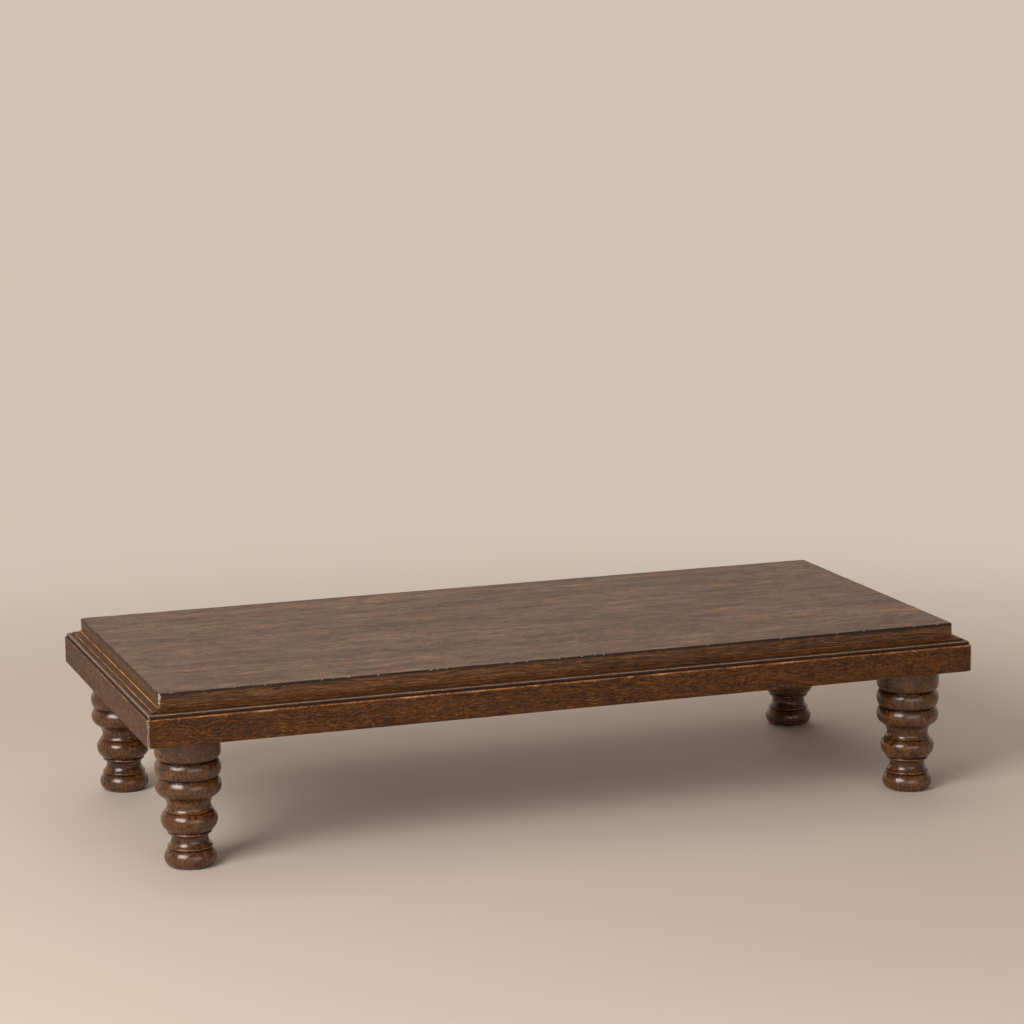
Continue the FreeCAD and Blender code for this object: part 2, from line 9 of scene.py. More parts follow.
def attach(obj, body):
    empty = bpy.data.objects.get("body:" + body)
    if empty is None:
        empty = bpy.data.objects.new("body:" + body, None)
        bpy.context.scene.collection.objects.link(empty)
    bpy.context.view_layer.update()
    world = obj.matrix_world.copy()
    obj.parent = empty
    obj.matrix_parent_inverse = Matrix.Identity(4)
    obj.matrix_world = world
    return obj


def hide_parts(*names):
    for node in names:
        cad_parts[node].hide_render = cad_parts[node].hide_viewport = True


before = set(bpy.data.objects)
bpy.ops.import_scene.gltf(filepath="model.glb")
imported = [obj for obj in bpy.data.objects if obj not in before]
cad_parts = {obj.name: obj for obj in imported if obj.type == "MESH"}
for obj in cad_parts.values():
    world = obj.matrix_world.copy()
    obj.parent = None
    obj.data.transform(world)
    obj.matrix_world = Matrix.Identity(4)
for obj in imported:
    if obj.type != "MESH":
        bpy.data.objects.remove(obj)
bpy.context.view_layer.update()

# Sizes of the table in millimetres, as in the solids

LENGTH, WIDTH = 914.0, 425.0
RAIL_BOTTOM, RAIL_TOP, TABLE_TOP = 138.0, 176.0, 190.0
RAIL_DEPTH, RAIL_HEIGHT = 28.0, 38.0
INSET = 16.0
BOARD_CORNER, BOARD_ARRIS = 3.0, 1.3
FRAME_CORNER = 3.5
LEG_INSET = 52.0
TENON_RADIUS, TENON_TOP = 15.0, 175.5

# How deep the rails are rubbed and the legs dented, in millimetres, where a mark is at full strength
RUB_DEPTH, DENT_DEPTH = 0.5, 0.25

# How finely the outlines are stepped, in millimetres, and how many sides a turned leg has
SECTION_STEP, STATION_STEP, LEG_STEP, LEG_SIDES = 1.1, 2.0, 0.8, 180

CORNERS = {"front_left": (-1, -1), "front_right": (1, -1), "back_right": (1, 1), "back_left": (-1, 1)}

# The rail's moulding, across from the outer face and up from the rail's bottom.
# A third number rounds that corner to a radius.
RAIL_SECTION = [
    (RAIL_DEPTH, 0.0),
    (RAIL_DEPTH, RAIL_HEIGHT),
    (15.0, RAIL_HEIGHT, 0.25),
    (15.0, 36.9),
    (12.0, 36.0),
    (9.0, 35.4),
    (8.0, 35.4, 0.95),
    (8.0, 33.9),
    (3.8, 33.3),
    (2.1, 33.3, 1.65),
    (2.1, 29.7),
    (0.0, 29.7, 1.4),
    (0.0, 0.0, 2.0),
]

# A leg's members from the floor up: radius, height, and the radius of the arc that leads there.
# The last number says on which side of the way the arc's centre lies.
LEG_PROFILE = [
    (20.5, 0.0),
    (27.0, 9.0, 9.48, 1),
    (22.2, 19.0, 12.82, 1),
    (23.5, 20.7, 1.76, 1),
    (22.2, 22.4, 1.76, 1),
    (19.0, 29.8, 10.16, -1),
    (21.4, 34.4, 5.61, -1),
    (23.0, 35.7, 1.33, 1),
    (22.3, 37.0, 1.56, 1),
    (29.3, 49.5, 14.66, 1),
    (25.356, 57.62, 10.335, 1),
    (24.756, 58.12),
    (25.356, 58.62),
    (22.5, 64.5, 7.484, -1),
    (28.532, 74.64, 11.54, -1),
    (34.1, 84.0, 10.652, 1),
    (30.4, 93.5, 14.046, 1),
    (34.1, 103.5, 15.364, 1),
    (30.4, 112.5, 12.796, 1),
    (34.1, 119.5, 8.472, 1),
    (34.1, RAIL_BOTTOM),
    (TENON_RADIUS, RAIL_BOTTOM),
    (TENON_RADIUS, TENON_TOP),
]

# Where each outline is rubbed bright, and also painted bright as glints where lips and arrises catch the light; where
# dirt and old wax gather and painted shade darkens creases, grooves, the cap under the rail and the foot on the
# floor; and where a grey line along the rail's nose is a painted highlight.
# A spot is its two places, its reach and its strength.
LONG_RAIL_WORN = [(0.2, 29.2, 1.7, 0.85), (0.4, 0.4, 0.6, 0.8), (15.3, 38.0, 0.8, 0.8)]
# The short rails' listel arris is brighter: wear, and a painted glint.
SHORT_RAIL_WORN_AND_GLINT = [(0.2, 29.2, 1.2, 0.6), (0.4, 0.4, 0.6, 0.6), (15.3, 38.0, 1.3, 1.3), (8.2, 35.2, 0.8, 0.9)]
# Dark under the noses and on the lower nose's face: dirt, and painted shade.
RAIL_GRIMY_AND_SHADED = [(8.0, 33.9, 0.8, 1.0), (2.1, 29.7, 0.9, 1.0), (2.1, 31.0, 1.3, 0.9)]
# The grey line along the lower nose is a painted highlight.
RAIL_PAINTED_SHEEN = [(3.2, 33.1, 1.4, 1.0)]
# Bright lips under the grooves and on the collars: wear, and painted glints where they catch the light.
LEG_WORN_AND_GLINT = [(23.3, 20.9, 0.5, 1.0), (23.0, 35.8, 0.6, 1.0), (31.1, 92.6, 0.7, 0.9), (31.1, 111.6, 0.7, 0.9),
            (25.2, 57.5, 0.4, 0.7)]
# Dark grooves and coves, the cap's top under the rail and the foot's edge on the floor: dirt, and painted shade.
LEG_GRIMY_AND_SHADED = [(22.2, 19.0, 1.2, 1.0), (21.4, 34.4, 1.1, 1.0), (22.3, 37.0, 0.9, 1.0), (24.8, 58.1, 0.7, 1.0),
             (30.4, 93.5, 2.0, 1.0), (30.4, 112.5, 2.0, 1.0), (19.2, 28.0, 4.0, 0.5), (22.5, 64.5, 3.0, 0.45),
             (34.1, 137.7, 2.2, 1.0), (20.5, 0.0, 3.0, 1.0)]

# Kinds of node that come up again and again
MATH, VECTOR, RANGE, MIX = "ShaderNodeMath", "ShaderNodeVectorMath", "ShaderNodeMapRange", "ShaderNodeMix"
NOISE, SPLIT, JOIN = "ShaderNodeTexNoise", "ShaderNodeSeparateXYZ", "ShaderNodeCombineXYZ"
STORE, NAMED = "GeometryNodeStoreNamedAttribute", "GeometryNodeInputNamedAttribute"
SMOOTH = {"interpolation_type": "SMOOTHSTEP"}


def linear(code):
    """A colour from its hex code, turned from sRGB to linear."""
    values = [int(code[i : i + 2], 16) / 255 for i in (1, 3, 5)]
    return tuple(v / 12.92 if v <= 0.04045 else ((v + 0.055) / 1.055) ** 2.4 for v in values) + (1.0,)


def add(tree, kind, *values, out=0, stops=None, **settings):
    """Adds a node with its settings and links, and gives back one of its outputs, or all of them for None.

    The values go to the sockets in order, or by name where they come as one dict. Each is a plain value
    or the output that feeds the socket. Stops are the places and colours of a colour ramp.
    """
    node = tree.nodes.new(kind)
    for name, value in settings.items():
        setattr(node, name, value)
    sockets = values[0] if values and isinstance(values[0], dict) else dict(enumerate(values))
    for name, value in sockets.items():
        if isinstance(value, bpy.types.NodeSocket):
            tree.links.new(value, node.inputs[name])
        else:
            node.inputs[name].default_value = value
    for i, (position, colour) in enumerate(stops or []):
        elements = node.color_ramp.elements
        element = elements[i] if i < len(elements) else elements.new(position)
        element.position, element.color = position, linear(colour)
    return node.outputs[out] if node.outputs and out is not None else node.outputs


# Outlines


def wander(points, size, seed):
    """Smooth noise from -1 to 1 at each point, in patches of about the given size."""
    shift = Vector((seed * 7.13, seed * 3.71, seed * 1.93))
    return np.array([noise.noise(Vector(p) / size + shift) for p in points])


def swung(arm, turn, steps):
    """An arm from an arc's centre, swung through a turn in even steps."""
    for share in np.linspace(0, 1, steps):
        c, s = math.cos(turn * share), math.sin(turn * share)
        yield np.array([arm[0] * c - arm[1] * s, arm[0] * s + arm[1] * c])


def between(arm, last):
    """The turn from one arm to another, in radians."""
    return math.atan2(arm[0] * last[1] - arm[1] * last[0], arm @ last)


def rounded(points, step):
    """A finely stepped closed line through the points, with the corners that carry a radius rounded off."""
    line = []
    for i, point in enumerate(points):
        here = np.array(point[:2])
        if len(point) < 3:
            line.append(here)
            continue
        into, out = (np.array(points[j % len(points)][:2]) - here for j in (i - 1, i + 1))
        into, out = into / np.linalg.norm(into), out / np.linalg.norm(out)
        half = math.acos(float(np.clip(into @ out, -1, 1))) / 2
        reach = point[2] / math.tan(half)
        centre = here + (into + out) / np.linalg.norm(into + out) * point[2] / math.sin(half)
        arm, last = here + into * reach - centre, here + out * reach - centre
        line += [centre + place for place in swung(arm, between(arm, last), 8)]
    fine = []
    for a, b in zip(line, line[1:] + [line[0]]):
        steps = max(1, math.ceil(np.linalg.norm(b - a) / step))
        fine += [a + (b - a) * k / steps for k in range(steps)]
    return np.array(fine)


def turned_line(profile, step):
    """A finely stepped line through a turned profile's arcs."""
    line = [np.array(profile[0])]
    for member in profile[1:]:
        start, end = line[-1], np.array(member[:2])
        way = end - start
        length = np.linalg.norm(way)
        steps = max(2, math.ceil(length / step))
        if len(member) == 2:
            line += [start + way * k / steps for k in range(1, steps + 1)]
            continue
        radius, side = max(member[2], length / 2), member[3]
        left = np.array([-way[1], way[0]]) / length
        centre = (start + end) / 2 + left * side * math.sqrt(max(radius**2 - length**2 / 4, 0))
        turn = between(start - centre, end - centre)
        line += [centre + place for place in swung(start - centre, turn, steps + 1)][1:]
    return np.array(line)


def nearness(value, spot, reach):
    """How near a value, or each of an array, is to a spot: 1 at the spot, and fading to 0 past the reach."""
    return np.exp(-(((value - spot) / reach) ** 2))


def closeness(line, spots):
    """How near each point of an outline is to any of the spots, from 0 to 1."""
    best = np.zeros(len(line))
    for a, b, reach, strength in spots:
        distance = np.hypot(line[:, 0] - a, line[:, 1] - b)
        best = np.maximum(best, strength * nearness(distance, 0.0, reach))
    return best


# From an outline to a finished piece


def shape_tree(name, inputs):
    """A tree that makes a piece from its drawn outline, with the named inputs it takes."""
    tree = bpy.data.node_groups.new(name, "GeometryNodeTree")
    tree.interface.new_socket("Geometry", in_out="INPUT", socket_type="NodeSocketGeometry")
    for label, kind in inputs.items():
        tree.interface.new_socket(label, in_out="INPUT", socket_type="NodeSocket" + kind)
    tree.interface.new_socket("Geometry", in_out="OUTPUT", socket_type="NodeSocketGeometry")
    return tree, add(tree, "NodeGroupInput", out=None)


def marks_of_use(tree, size, seed, low, high, detail=3.0):
    """Where years of use have left their marks, from 0 to 1, in patches of the given size in metres."""
    place = add(tree, "GeometryNodeInputPosition")
    sockets = {"Vector": place, "W": seed, "Scale": 1 / size, "Detail": detail}
    made = add(tree, NOISE, sockets, noise_dimensions="4D")
    return add(tree, RANGE, made, low, high, **SMOOTH)


def worn_down(tree, geometry, depth, material):
    """Wear takes wood away along the surface's own direction. Then the tree ends in one plain mesh in its wood."""
    inward = add(tree, MATH, depth, -1.0, operation="MULTIPLY")
    normal = add(tree, "GeometryNodeInputNormal")
    offset = add(tree, VECTOR, {0: normal, "Scale": inward}, operation="SCALE")
    pressed = add(tree, "GeometryNodeSetPosition", {"Geometry": geometry, "Offset": offset})
    whole = add(tree, "GeometryNodeRealizeInstances", {"Geometry": pressed})
    finished = add(tree, "GeometryNodeSetMaterial", {"Geometry": whole, "Material": material})
    add(tree, "NodeGroupOutput", {"Geometry": finished})


def grow(name, tree, line, masks, closed, values):
    """Runs a tree over an outline in millimetres, and keeps the plain mesh it gives."""
    count = len(line)
    edges = [(i, (i + 1) % count) for i in range(count if closed else count - 1)]
    drawing = bpy.data.meshes.new(name)
    drawing.from_pydata([(a / 1000, b / 1000, 0.0) for a, b in line], edges, [])
    for mask, numbers in masks.items():
        drawing.attributes.new(mask, "FLOAT", "POINT").data.foreach_set("value", numbers.astype(np.float32))
    piece = bpy.data.objects.new(name, drawing)
    bpy.context.scene.collection.objects.link(piece)
    shaper = piece.modifiers.new("shape", "NODES")
    shaper.node_group = tree
    for item in tree.interface.items_tree:
        if item.in_out == "INPUT" and item.name in values:
            shaper[item.identifier] = values[item.name]
    view = bpy.context.evaluated_depsgraph_get()
    made = piece.evaluated_get(view)
    mesh = bpy.data.meshes.new_from_object(made, preserve_all_data_layers=True, depsgraph=view)
    piece.modifiers.remove(shaper)
    piece.data = mesh
    return piece


def settle(piece, node):
    """Puts a finished piece in the place of its solid, with its faces outwards and its arrises crisp."""
    shell = bmesh.new()
    shell.from_mesh(piece.data)
    if shell.calc_volume(signed=True) < 0:
        bmesh.ops.reverse_faces(shell, faces=shell.faces)
    shell.to_mesh(piece.data)
    shell.free()
    piece.data.polygons.foreach_set("use_smooth", np.ones(len(piece.data.polygons), bool))
    piece.data.set_sharp_from_angle(angle=math.radians(50))
    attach(piece, "root")
    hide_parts(node)


# Rails. The moulding is one section that follows a straight path and is cut to a mitre at both ends.

# The run stops this far short of the corner's first station, in metres, so that no two stations meet
CORNER_SLACK = 0.0008


def rail_tree():
    """Sweeps the moulding, bends its ends round the frame's corners to the mitres, and wears it."""
    tree, given = shape_tree("moulded_rail", {
        "Length": "Float", "Stations": "Int", "Corner Radius": "Float", "Rise": "Float", "Away": "Float",
        "Turn": "Float", "Rub Depth": "Float", "Seed": "Float", "Material": "Material"})
    drawn = {"Geometry": given["Geometry"], "Name": "section", "Value": add(tree, "GeometryNodeInputPosition")}
    section = add(tree, "GeometryNodeMeshToCurve", add(tree, STORE, drawn, data_type="FLOAT_VECTOR"))
    path = add(tree, "GeometryNodeCurvePrimitiveLine", {"Start": (-1, 0, 0), "End": (1, 0, 0)})
    path = add(tree, "GeometryNodeResampleCurve", {"Curve": path, "Count": given["Stations"]})
    stepped = {"Geometry": path, "Name": "station", "Value": add(tree, "GeometryNodeSplineParameter")}
    path = add(tree, STORE, stepped, data_type="FLOAT")
    swept = add(tree, "GeometryNodeCurveToMesh", {"Curve": path, "Profile Curve": section, "Fill Caps": True})

    # The last four stations at each end swing round the frame's corner, and the rest share out the run
    places = add(tree, NAMED, {"Name": "section"}, out="Attribute", data_type="FLOAT_VECTOR")
    depth, height, _ = add(tree, SPLIT, places, out=None)
    station = add(tree, NAMED, {"Name": "station"}, out="Attribute", data_type="FLOAT")
    half = add(tree, MATH, given["Length"], 0.5, operation="MULTIPLY")
    side = add(tree, MATH, add(tree, MATH, station, 0.5, operation="SUBTRACT"), operation="SIGN")
    other_way = add(tree, MATH, 1.0, station, operation="SUBTRACT")
    from_end = add(tree, MATH, station, other_way, operation="MINIMUM")
    spaces = add(tree, MATH, given["Stations"], 1.0, operation="SUBTRACT")
    middle = add(tree, MATH, spaces, 0.5, operation="MULTIPLY")
    steps = add(tree, MATH, from_end, spaces, operation="MULTIPLY")
    to_middle = add(tree, MATH, middle, steps, operation="SUBTRACT")
    straights = add(tree, MATH, middle, 4.0, operation="SUBTRACT")
    straight = add(tree, MATH, to_middle, straights, operation="DIVIDE", use_clamp=True)
    rounding = add(tree, MATH, steps, -0.25, 1.0, operation="MULTIPLY_ADD", use_clamp=True)
    angle = add(tree, MATH, rounding, math.pi / 4, operation="MULTIPLY")
    start = add(tree, MATH, depth, given["Corner Radius"], operation="MAXIMUM")
    arm = add(tree, MATH, start, depth, operation="SUBTRACT")
    slack = add(tree, MATH, rounding, -CORNER_SLACK, CORNER_SLACK, operation="MULTIPLY_ADD")
    run = add(tree, MATH, add(tree, MATH, half, start, operation="SUBTRACT"), slack, operation="SUBTRACT")
    run = add(tree, MATH, run, straight, operation="MULTIPLY")
    along = add(tree, MATH, arm, add(tree, MATH, angle, operation="SINE"), run, operation="MULTIPLY_ADD")
    across = add(tree, MATH, arm, add(tree, MATH, angle, operation="COSINE"), operation="MULTIPLY")
    inward = add(tree, MATH, start, across, operation="SUBTRACT")
    to_end = add(tree, MATH, half, along, operation="SUBTRACT")
    to_mitre = add(tree, MATH, to_end, inward, operation="SUBTRACT")
    swept = add(tree, STORE, {"Geometry": swept, "Name": "to_mitre", "Value": to_mitre}, data_type="FLOAT")
    spot = add(tree, JOIN, add(tree, MATH, along, side, operation="MULTIPLY"),
               add(tree, MATH, inward, given["Away"], operation="SUBTRACT"),
               add(tree, MATH, height, given["Rise"], operation="ADD"))
    rail = add(tree, "GeometryNodeSetPosition", {"Geometry": swept, "Position": spot})
    turn = add(tree, JOIN, {2: given["Turn"]})
    rail = add(tree, "GeometryNodeTransform", {"Geometry": rail, "Rotation": turn})

    # Knocks at the corner, pale there partly as a painted highlight, and rubbing that comes and goes along the worn
    # arrises, which carry painted glints as well
    near_mitre = add(tree, NAMED, {"Name": "to_mitre"}, out="Attribute", data_type="FLOAT")
    near_mitre = add(tree, RANGE, near_mitre, 0.0055, 0.0005, **SMOOTH)
    near_face = add(tree, RANGE, depth, 0.006, 0.001, **SMOOTH)
    chip_and_glint = add(tree, MATH, near_mitre, near_face, operation="MULTIPLY")
    worn = add(tree, NAMED, {"Name": "wear_and_glint"}, out="Attribute", data_type="FLOAT")
    rub = marks_of_use(tree, 0.03, given["Seed"], 0.4, 0.66, 4.0)
    nick = marks_of_use(tree, 0.006, given["Seed"], 0.52, 0.72, 2.0)
    rub = add(tree, MATH, rub, add(tree, MATH, nick, 0.8, operation="MULTIPLY"), operation="MAXIMUM")
    loss = add(tree, MATH, add(tree, MATH, worn, chip_and_glint, operation="MAXIMUM"), rub, operation="MULTIPLY")
    loss = add(tree, MATH, loss, given["Rub Depth"], operation="MULTIPLY")
    wear_and_glint = add(tree, MATH, worn, add(tree, MATH, rub, 0.5, 0.5, operation="MULTIPLY_ADD"), operation="MULTIPLY")
    for name, value in (("loss", loss), ("chip_and_glint", chip_and_glint), ("wear_and_glint", wear_and_glint)):
        rail = add(tree, STORE, {"Geometry": rail, "Name": name, "Value": value}, data_type="FLOAT")
    loss = add(tree, NAMED, {"Name": "loss"}, out="Attribute", data_type="FLOAT")
    worn_down(tree, rail, loss, given["Material"])
    return tree


def make_rail(name, tree, length, turn, away, seed, worn, material):
    """One rail, turned to its side of the frame. Away is how far its face lies from the table's middle."""
    section = rounded(RAIL_SECTION, SECTION_STEP)
    masks = {"wear_and_glint": closeness(section, worn), "grime_and_shade": closeness(section, RAIL_GRIMY_AND_SHADED),
             "painted_sheen": closeness(section, RAIL_PAINTED_SHEEN)}
    # An odd count of stations puts one at the middle
    stations = int(length / STATION_STEP) // 2 * 2 + 1
    values = {"Length": length / 1000, "Stations": stations, "Corner Radius": FRAME_CORNER / 1000,
              "Rise": RAIL_BOTTOM / 1000, "Away": away / 1000, "Turn": turn, "Rub Depth": RUB_DEPTH / 1000,
              "Seed": seed, "Material": material}
    settle(grow(name + "_wood", tree, section, masks, True, values), name)


# Legs. Each is one outline turned about the leg's axis.


def leg_tree():
    """Bends a flat sheet round the leg's axis, row by row, to the outline it is given."""
    tree, given = shape_tree("turned_leg", {
        "Sides": "Int", "Place": "Vector", "Dent Depth": "Float", "Seed": "Float", "Material": "Material"})
    outline = given["Geometry"]
    count = add(tree, "GeometryNodeAttributeDomainSize", {"Geometry": outline}, out="Point Count")
    columns = add(tree, MATH, given["Sides"], 1.0, operation="ADD")
    sheet = {"Size X": 1.0, "Size Y": 1.0, "Vertices X": columns, "Vertices Y": count}
    leg = add(tree, "GeometryNodeMeshGrid", sheet)
    across, up, _ = add(tree, SPLIT, add(tree, "GeometryNodeInputPosition"), out=None)
    angle = add(tree, MATH, across, 2 * math.pi, math.pi, operation="MULTIPLY_ADD")
    last = add(tree, MATH, count, 1.0, operation="SUBTRACT")
    row = add(tree, MATH, add(tree, MATH, up, 0.5, operation="ADD"), last, operation="MULTIPLY")
    row = add(tree, MATH, row, operation="ROUND")

    # Each row of the sheet takes its radius, height and marks from one point of the outline
    sampled = {"Geometry": outline, "Value": add(tree, "GeometryNodeInputPosition"), "Index": row}
    taken = add(tree, "GeometryNodeSampleIndex", sampled, data_type="FLOAT_VECTOR")
    radius, height, _ = add(tree, SPLIT, taken, out=None)
    for mask in ("wear_and_glint", "grime_and_shade", "free"):
        value = add(tree, NAMED, {"Name": mask}, out="Attribute", data_type="FLOAT")
        sampled = {"Geometry": outline, "Value": value, "Index": row}
        taken = add(tree, "GeometryNodeSampleIndex", sampled, data_type="FLOAT")
        leg = add(tree, STORE, {"Geometry": leg, "Name": mask, "Value": taken}, data_type="FLOAT")
    spot = add(tree, JOIN,
               add(tree, MATH, radius, add(tree, MATH, angle, operation="COSINE"), operation="MULTIPLY"),
               add(tree, MATH, radius, add(tree, MATH, angle, operation="SINE"), operation="MULTIPLY"), height)
    leg = add(tree, "GeometryNodeSetPosition", {"Geometry": leg, "Position": spot})
    leg = add(tree, "GeometryNodeMergeByDistance", {"Geometry": leg, "Distance": 0.00002})
    leg = add(tree, "GeometryNodeTransform", {"Geometry": leg, "Translation": given["Place"]})

    # Shallow hollows and dents of handling, none on the foot's underside or the hidden tenon
    hollow = marks_of_use(tree, 0.02, given["Seed"], 0.35, 0.7)
    dent = marks_of_use(tree, 0.007, given["Seed"], 0.55, 0.75, 1.0)
    free = add(tree, NAMED, {"Name": "free"}, out="Attribute", data_type="FLOAT")
    loss = add(tree, MATH, dent, 0.6, add(tree, MATH, hollow, 0.5, operation="MULTIPLY"), operation="MULTIPLY_ADD")
    loss = add(tree, MATH, loss, given["Dent Depth"], operation="MULTIPLY")
    loss = add(tree, MATH, loss, free, operation="MULTIPLY")
    rub = marks_of_use(tree, 0.012, given["Seed"], 0.35, 0.65)
    rub = add(tree, MATH, rub, 0.7, 0.3, operation="MULTIPLY_ADD")
    # The wear mask also carries painted glints on the lips.
    wear_and_glint = add(tree, NAMED, {"Name": "wear_and_glint"}, out="Attribute", data_type="FLOAT")
    wear_and_glint = add(tree, MATH, wear_and_glint, rub, operation="MULTIPLY")
    for name, value in (("loss", loss), ("wear_and_glint", wear_and_glint)):
        leg = add(tree, STORE, {"Geometry": leg, "Name": name, "Value": value}, data_type="FLOAT")
    loss = add(tree, NAMED, {"Name": "loss"}, out="Attribute", data_type="FLOAT")
    worn_down(tree, leg, loss, given["Material"])
    return tree


def make_leg(corner, tree, seed, material):
    """One leg with its tenon, stood in its corner of the frame."""
    side_x, side_y = CORNERS[corner]
    line = turned_line([(0.0, 0.0)] + LEG_PROFILE + [(0.0, TENON_TOP)], LEG_STEP)
    free = (line[:, 1] > 0.6) & (line[:, 1] < RAIL_BOTTOM - 1.5) & (line[:, 0] > TENON_RADIUS)
    masks = {"wear_and_glint": closeness(line, LEG_WORN_AND_GLINT), "grime_and_shade": closeness(line, LEG_GRIMY_AND_SHADED), "free": free}
    place = [(LENGTH / 2 - LEG_INSET) * side_x / 1000, (WIDTH / 2 - LEG_INSET) * side_y / 1000, 0.0]
    values = {"Sides": LEG_SIDES, "Place": place, "Dent Depth": DENT_DEPTH / 1000, "Seed": seed,
              "Material": material}
    settle(grow(f"leg_{corner}_wood", tree, line, masks, False, values), f"leg_{corner}")


# Top boards


def board_ring(low, high, radii, height, counts):
    """The outline of a board at one height. Each corner has a radius of its own."""
    corners = [(low[0], low[1], 1, 1), (high[0], low[1], -1, 1), (high[0], high[1], -1, -1), (low[0], high[1], 1, -1)]
    bends = []
    for i, (x, y, into_x, into_y) in enumerate(corners):
        centre = np.array([x + into_x * radii[i], y + into_y * radii[i]])
        angle = math.pi + i * math.pi / 2
        arm = radii[i] * np.array([math.cos(angle), math.sin(angle)])
        bends.append([centre + place for place in swung(arm, math.pi / 2, 7)])
    points = []
    for i, bend in enumerate(bends):
        here, goal = bend[-1], bends[(i + 1) % 4][0]
        points += bend
        points += [here + (goal - here) * k / counts[i % 2] for k in range(1, counts[i % 2])]
    return np.array([(x, y, height) for x, y in points])


def board_levels():
    """How far in each outline of a board lies, and how high, from the rails up and over the rounded arris."""
    levels = [(0.0, z) for z in np.linspace(RAIL_TOP, TABLE_TOP - BOARD_ARRIS, 12)]
    for angle in np.linspace(0, math.pi / 2, 7)[1:]:
        levels.append((BOARD_ARRIS * (1 - math.cos(angle)), TABLE_TOP - BOARD_ARRIS * (1 - math.sin(angle))))
    return levels + [(2.0, TABLE_TOP), (3.2, TABLE_TOP), (6.0, TABLE_TOP), (12.0, TABLE_TOP)]


def board_marks(ring, inward, height, glued):
    """How rubbed, dark and chipped one outline of a board is, and how deep it is worn, in millimetres. The dark is
    partly painted shade, and the pale chips are partly painted glints.
    """
    x, y = np.abs(ring[:, 0]), np.abs(ring[:, 1])
    free = np.where(glued, 0.0, 1.0)
    # The rounded arris of a free edge is rubbed in long stretches and nicked here and there, the pale nicks partly
    # painted glints. The rest of that arris is drawn darker, and the foot of the board on the rails is darkened as
    # painted shade.
    on_arris = nearness(height, TABLE_TOP, 0.8) * nearness(inward, 0.6, 0.8) * free
    rub = np.clip(wander(ring, 20, 31) * 0.9 + wander(ring, 5, 33) * 0.6 + 0.15, 0, 1)
    nick = np.clip(wander(ring, 2.6, 35) * 2.8 - 0.75, 0, 1)
    end, front = LENGTH / 2 - INSET, WIDTH / 2 - INSET
    corner = nearness(x, end, 2.8) * nearness(y, front, 2.8)
    rounded_part = nearness(height, TABLE_TOP, 2.6) * nearness(inward, 0.2, 1.1) * free
    at_foot = nearness(height, RAIL_TOP, 0.9)
    grime_and_shade = np.maximum(1.5 * rounded_part * (1 - 0.8 * nick), at_foot)
    chip_and_glint = np.maximum(np.clip(1.4 * corner, 0, 1), 2.0 * on_arris * nick)
    loss = on_arris * np.maximum(rub * 0.7, nick) * 0.5 + corner * 0.2 * (0.5 + rub)
    return {"wear_and_glint": np.zeros(len(ring)), "grime_and_shade": grime_and_shade, "chip_and_glint": chip_and_glint}, loss * (height > RAIL_TOP + 0.5)


def make_board(name, low_y, high_y, front, back, material):
    """One board of the top. Its glued edges stay sharp, and its free ones are eased and rubbed."""
    end, side = LENGTH / 2 - INSET, WIDTH / 2 - INSET
    # How many steps there are along an edge and across it, of about 2 mm each
    counts = (int(end), 60)
    rings, marks = [], {"wear_and_glint": [], "grime_and_shade": [], "chip_and_glint": []}
    for inward, height in board_levels():
        low = (-end + inward, low_y + (inward if front else 0))
        high = (end - inward, high_y - (inward if back else 0))
        eased = max(BOARD_CORNER - inward, 0.3)
        radii = [eased if front else 0.12] * 2 + [eased if back else 0.12] * 2
        ring = board_ring(low, high, radii, height, counts)
        x, y = ring[:, 0], ring[:, 1]
        glued = ((not front) & (y < low_y + 0.5)) | ((not back) & (y > high_y - 0.5))
        found, loss = board_marks(ring, inward, height, glued)
        for mask, numbers in found.items():
            marks[mask].append(numbers)
        # Wear pushes the free edges inwards, and the upper arris down with them
        push = np.stack([-np.sign(x) * (end - np.abs(x) < 3.5), -np.sign(y) * (side - np.abs(y) < 3.5),
                         np.full(len(x), -0.7 * (height > TABLE_TOP - 1.2))], 1)
        rings.append(ring + push * loss[:, None])
    rings = np.array(rings)
    count, size = rings.shape[:2]
    rows, cols = np.arange(count - 1)[:, None] * size, np.arange(size)[None, :]
    after = (cols + 1) % size
    quads = np.stack([rows + cols, rows + after, rows + size + after, rows + size + cols], -1).reshape(-1, 4)
    caps = [list(range(size))[::-1], list(range((count - 1) * size, count * size))]
    mesh = bpy.data.meshes.new(name)
    mesh.from_pydata((rings.reshape(-1, 3) / 1000).tolist(), [], quads.tolist() + caps)
    for mask, numbers in marks.items():
        numbers = np.array(numbers, np.float32).reshape(-1)
        mesh.attributes.new(mask, "FLOAT", "POINT").data.foreach_set("value", numbers)
    mesh.materials.append(material)
    piece = bpy.data.objects.new(name + "_wood", mesh)
    bpy.context.scene.collection.objects.link(piece)
    settle(piece, name)


# Finishes


def blank(name):
    """A material with an empty tree."""
    material = bpy.data.materials.new(name)
    material.use_nodes = True
    material.node_tree.nodes.clear()
    return material, material.node_tree


